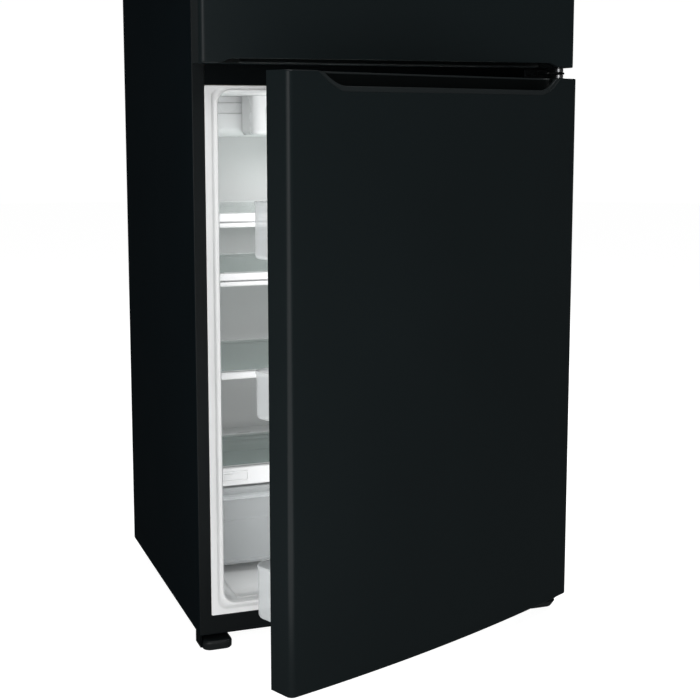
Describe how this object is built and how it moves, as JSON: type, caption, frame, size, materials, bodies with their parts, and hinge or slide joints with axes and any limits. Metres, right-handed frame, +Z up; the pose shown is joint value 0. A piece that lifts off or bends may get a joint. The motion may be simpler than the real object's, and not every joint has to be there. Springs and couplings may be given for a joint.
{
  "type": "top freezer refrigerator",
  "caption": "Free-standing top freezer refrigerator, black, with pocket handles, the fridge door ajar, glass shelves, crisper drawers and door bins.",
  "frame": {"origin": "on the floor, at the middle of the box that holds the refrigerator with its fridge door ajar as stored", "axes": "+X to the right seen from the front (hinge side), +Y to the back, +Z up; the doors face -Y"},
  "size_m": [0.7655, 1.0108, 1.681],
  "materials": {
    "door_steel": "satin",
    "cabinet_steel": "satin",
    "frame_steel": "matte",
    "black_plastic": "satin",
    "zinc_steel": "satin",
    "aluminium": "satin",
    "foam": "matte",
    "rubber": "matte",
    "glass": "gloss",
    "clear_plastic": "gloss",
    "white_liner": "satin",
    "white_trim": "gloss"
  },
  "bodies": {
    "cabinet": {"air_duct": "white_liner", "back_panel": "zinc_steel", "base_frame": "frame_steel", "bottom_hinge": "zinc_steel", "cabinet_foam": "foam", "cabinet_wrapper": "cabinet_steel", "centre_hinge": "zinc_steel", "compressor": "frame_steel", "condenser_coil": "frame_steel", "condenser_fan_motor": "zinc_steel", "control_housing": "white_liner", "cord_gland": "rubber", "crisper_cover_frame": "white_trim", "crisper_cover_glass": "glass", "drain_pan": "black_plastic", "evaporator_coil": "aluminium", "evaporator_cover": "white_liner", "evaporator_fan_motor": "zinc_steel", "foot_cover_left": "black_plastic", "foot_cover_right": "black_plastic", "freezer_liner": "white_liner", "freezer_shelf": "white_trim", "fridge_liner": "white_liner", "light_lens": "clear_plastic", "machine_cover": "zinc_steel", "mullion_bar": "frame_steel", "shelf_1_frame": "white_trim", "shelf_1_glass": "glass", "shelf_2_frame": "white_trim", "shelf_2_glass": "glass", "shelf_3_frame": "white_trim", "shelf_3_glass": "glass", "top_hinge": "zinc_steel", "top_hinge_cover": "black_plastic"},
    "fridge_door": {"fridge_door_panel": "door_steel", "fridge_door_handle": "black_plastic", "fridge_door_liner": "white_liner", "fridge_door_gasket": "rubber", "door_bin_top": "clear_plastic", "door_bin_middle": "clear_plastic", "door_bin_lower": "clear_plastic"},
    "freezer_door": {"freezer_door_panel": "door_steel", "freezer_door_handle": "black_plastic", "freezer_door_liner": "white_liner", "freezer_door_gasket": "rubber", "freezer_bin_lower": "clear_plastic", "freezer_bin_upper": "clear_plastic"},
    "dairy_lid": {"dairy_lid": "clear_plastic"},
    "crisper_left": {"crisper_left": "clear_plastic"},
    "crisper_right": {"crisper_right": "clear_plastic"},
    "humidity_slider_left": {"humidity_slider_left": "white_trim"},
    "humidity_slider_right": {"humidity_slider_right": "white_trim"},
    "temperature_knob": {"temperature_knob": "white_trim"},
    "light_switch": {"light_switch": "white_trim"},
    "levelling_leg_left": {"levelling_leg_left": "black_plastic"},
    "levelling_leg_right": {"levelling_leg_right": "black_plastic"},
    "rear_roller_left": {"rear_roller_left": "black_plastic"},
    "rear_roller_right": {"rear_roller_right": "black_plastic"},
    "condenser_fan": {"condenser_fan": "black_plastic"},
    "evaporator_fan": {"evaporator_fan": "black_plastic"}
  },
  "joints": [
    {"name": "fridge_door_hinge", "type": "hinge", "parent": "cabinet", "child": "fridge_door", "pos_m": [0.3625, -0.184, 0.568], "axis": [0, 0, 1], "range_deg": [-23.25, 101.75]},
    {"name": "freezer_door_hinge", "type": "hinge", "parent": "cabinet", "child": "freezer_door", "pos_m": [0.3625, -0.184, 1.391], "axis": [0, 0, 1], "range_deg": [0, 125]},
    {"name": "dairy_lid_hinge", "type": "hinge", "parent": "fridge_door", "child": "dairy_lid", "pos_m": [0.15344, -0.23573, 0.874], "axis": [0.9188, 0.3947, 0], "range_deg": [0, 95]},
    {"name": "crisper_left_slide", "type": "slide", "parent": "cabinet", "child": "crisper_left", "axis": [0, -1, 0], "range_m": [0, 0.16]},
    {"name": "crisper_right_slide", "type": "slide", "parent": "cabinet", "child": "crisper_right", "axis": [0, -1, 0], "range_m": [0, 0.1]},
    {"name": "humidity_slider_left_slide", "type": "slide", "parent": "cabinet", "child": "humidity_slider_left", "axis": [1, 0, 0], "range_m": [0, 0.024]},
    {"name": "humidity_slider_right_slide", "type": "slide", "parent": "cabinet", "child": "humidity_slider_right", "axis": [1, 0, 0], "range_m": [0, 0.024]},
    {"name": "temperature_knob_turn", "type": "hinge", "parent": "cabinet", "child": "temperature_knob", "pos_m": [0.095, 0.177, 1.026], "axis": [0, -1, 0], "range_deg": [0, 240]},
    {"name": "light_switch_press", "type": "slide", "parent": "cabinet", "child": "light_switch", "axis": [0, 1, 0], "range_m": [0, 0.01], "stiffness_N_per_m": 150},
    {"name": "levelling_leg_left_turn", "type": "hinge", "parent": "cabinet", "child": "levelling_leg_left", "pos_m": [-0.345, -0.123, 0.02], "axis": [0, 0, 1], "continuous": true},
    {"name": "levelling_leg_right_turn", "type": "hinge", "parent": "cabinet", "child": "levelling_leg_right", "pos_m": [0.345, -0.123, 0.02], "axis": [0, 0, 1], "continuous": true},
    {"name": "rear_roller_left_axle", "type": "hinge", "parent": "cabinet", "child": "rear_roller_left", "pos_m": [-0.34, 0.457, 0.016], "axis": [1, 0, 0], "continuous": true},
    {"name": "rear_roller_right_axle", "type": "hinge", "parent": "cabinet", "child": "rear_roller_right", "pos_m": [0.34, 0.457, 0.016], "axis": [1, 0, 0], "continuous": true},
    {"name": "condenser_fan_spin", "type": "hinge", "parent": "cabinet", "child": "condenser_fan", "pos_m": [-0.076, 0.423, 0.122], "axis": [1, 0, 0], "continuous": true},
    {"name": "evaporator_fan_spin", "type": "hinge", "parent": "cabinet", "child": "evaporator_fan", "pos_m": [0, 0.389, 1.53], "axis": [0, 1, 0], "continuous": true}
  ]
}
